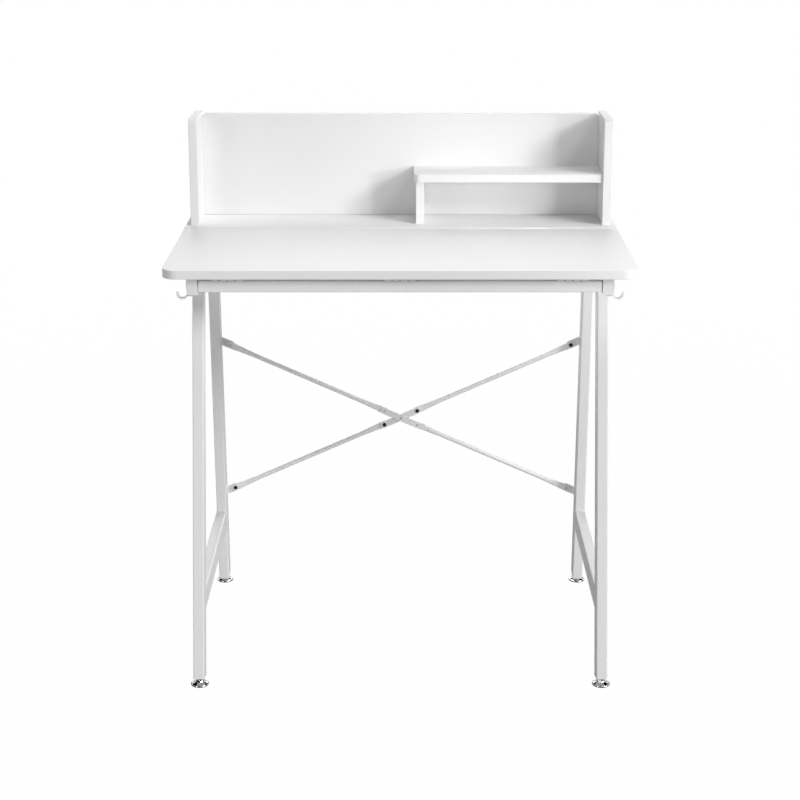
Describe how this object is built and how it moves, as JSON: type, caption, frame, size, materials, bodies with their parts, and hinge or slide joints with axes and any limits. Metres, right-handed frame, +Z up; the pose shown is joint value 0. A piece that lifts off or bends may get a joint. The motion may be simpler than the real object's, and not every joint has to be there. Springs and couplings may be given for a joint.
{
  "type": "writing desk",
  "caption": "White writing desk with a front-hinged tilting top, low rear hutch with a small shelf, splayed tube legs, rear cross brace, side hooks and levelling feet.",
  "frame": {"origin": "on the floor under the middle of the desk's overall box", "axes": "+Z up, +Y towards the hutch at the back, +X to the right of a person who sits at the desk"},
  "size_m": [0.85, 0.5678, 0.9895],
  "materials": {
    "white_board": "white melamine-faced board, satin, with matching edge band",
    "white_steel": "white powder coat, satin",
    "white_plastic": "white, matt",
    "zinc_steel": "bright zinc",
    "black_screw": "black zinc",
    "chrome": "polished"
  },
  "bodies": {
    "frame": {"rear_board": "white_board", "hutch_right_panel": "white_board", "hutch_left_panel": "white_board", "hutch_back_panel": "white_board", "hutch_divider": "white_board", "hutch_shelf": "white_board", "front_leg_right": "white_steel", "front_leg_left": "white_steel", "rear_leg_right": "white_steel", "rear_leg_left": "white_steel", "side_rail_right": "white_steel", "side_rail_left": "white_steel", "stretcher_right": "white_steel", "stretcher_left": "white_steel", "front_rail": "white_steel", "rear_rail": "white_steel", "brace_arm_upper_right": "white_steel", "brace_arm_lower_left": "white_steel", "brace_arm_upper_left": "white_steel", "brace_arm_lower_right": "white_steel", "brace_strap_rising": "white_steel", "brace_strap_falling": "white_steel", "hook_right": "white_steel", "hook_left": "white_steel", "rack_right": "white_steel", "rack_left": "white_steel", "side_rail_front_cap_right": "white_plastic", "side_rail_front_cap_left": "white_plastic", "side_rail_rear_cap_right": "white_plastic", "side_rail_rear_cap_left": "white_plastic", "leg_plug_front_right": "white_plastic", "leg_plug_front_left": "white_plastic", "leg_plug_rear_right": "white_plastic", "leg_plug_rear_left": "white_plastic", "hutch_cover_caps": "white_plastic", "hinge_rail_leaf_left": "zinc_steel", "hinge_rail_leaf_centre": "zinc_steel", "hinge_rail_leaf_right": "zinc_steel", "hinge_pins": "zinc_steel", "hinge_rail_screws": "zinc_steel", "rear_board_screws": "zinc_steel", "hutch_base_screws": "zinc_steel", "rack_screws": "zinc_steel", "hook_screws": "zinc_steel", "frame_bolts": "zinc_steel", "brace_screws": "black_screw"},
    "desktop": {"desktop_board": "white_board", "hinge_desktop_leaf_left": "zinc_steel", "hinge_desktop_leaf_centre": "zinc_steel", "hinge_desktop_leaf_right": "zinc_steel", "hinge_desktop_screws": "zinc_steel", "prop_saddle_right": "zinc_steel", "prop_saddle_left": "zinc_steel", "prop_saddle_screws": "zinc_steel"},
    "prop": {"prop": "zinc_steel"},
    "right_front_foot": {"foot_front_right": "chrome"},
    "left_front_foot": {"foot_front_left": "chrome"},
    "right_rear_foot": {"foot_rear_right": "chrome"},
    "left_rear_foot": {"foot_rear_left": "chrome"}
  },
  "joints": [
    {"name": "desktop_tilt", "type": "hinge", "parent": "frame", "child": "desktop", "pos_m": [0, -0.21414, 0.758], "axis": [1, 0, 0], "range_deg": [0, 35]},
    {"name": "prop_swing", "type": "hinge", "parent": "desktop", "child": "prop", "pos_m": [0, -0.04414, 0.758], "axis": [-1, 0, 0], "range_deg": [0, 70]},
    {"name": "right_front_foot_screw", "type": "slide", "parent": "frame", "child": "right_front_foot", "axis": [0, 0, -1], "range_m": [0, 0.012]},
    {"name": "left_front_foot_screw", "type": "slide", "parent": "frame", "child": "left_front_foot", "axis": [0, 0, -1], "range_m": [0, 0.012]},
    {"name": "right_rear_foot_screw", "type": "slide", "parent": "frame", "child": "right_rear_foot", "axis": [0, 0, -1], "range_m": [0, 0.012]},
    {"name": "left_rear_foot_screw", "type": "slide", "parent": "frame", "child": "left_rear_foot", "axis": [0, 0, -1], "range_m": [0, 0.012]}
  ],
  "couplings": [
    {"joint": "prop_swing", "follows": "desktop_tilt", "ratio": 2}
  ]
}
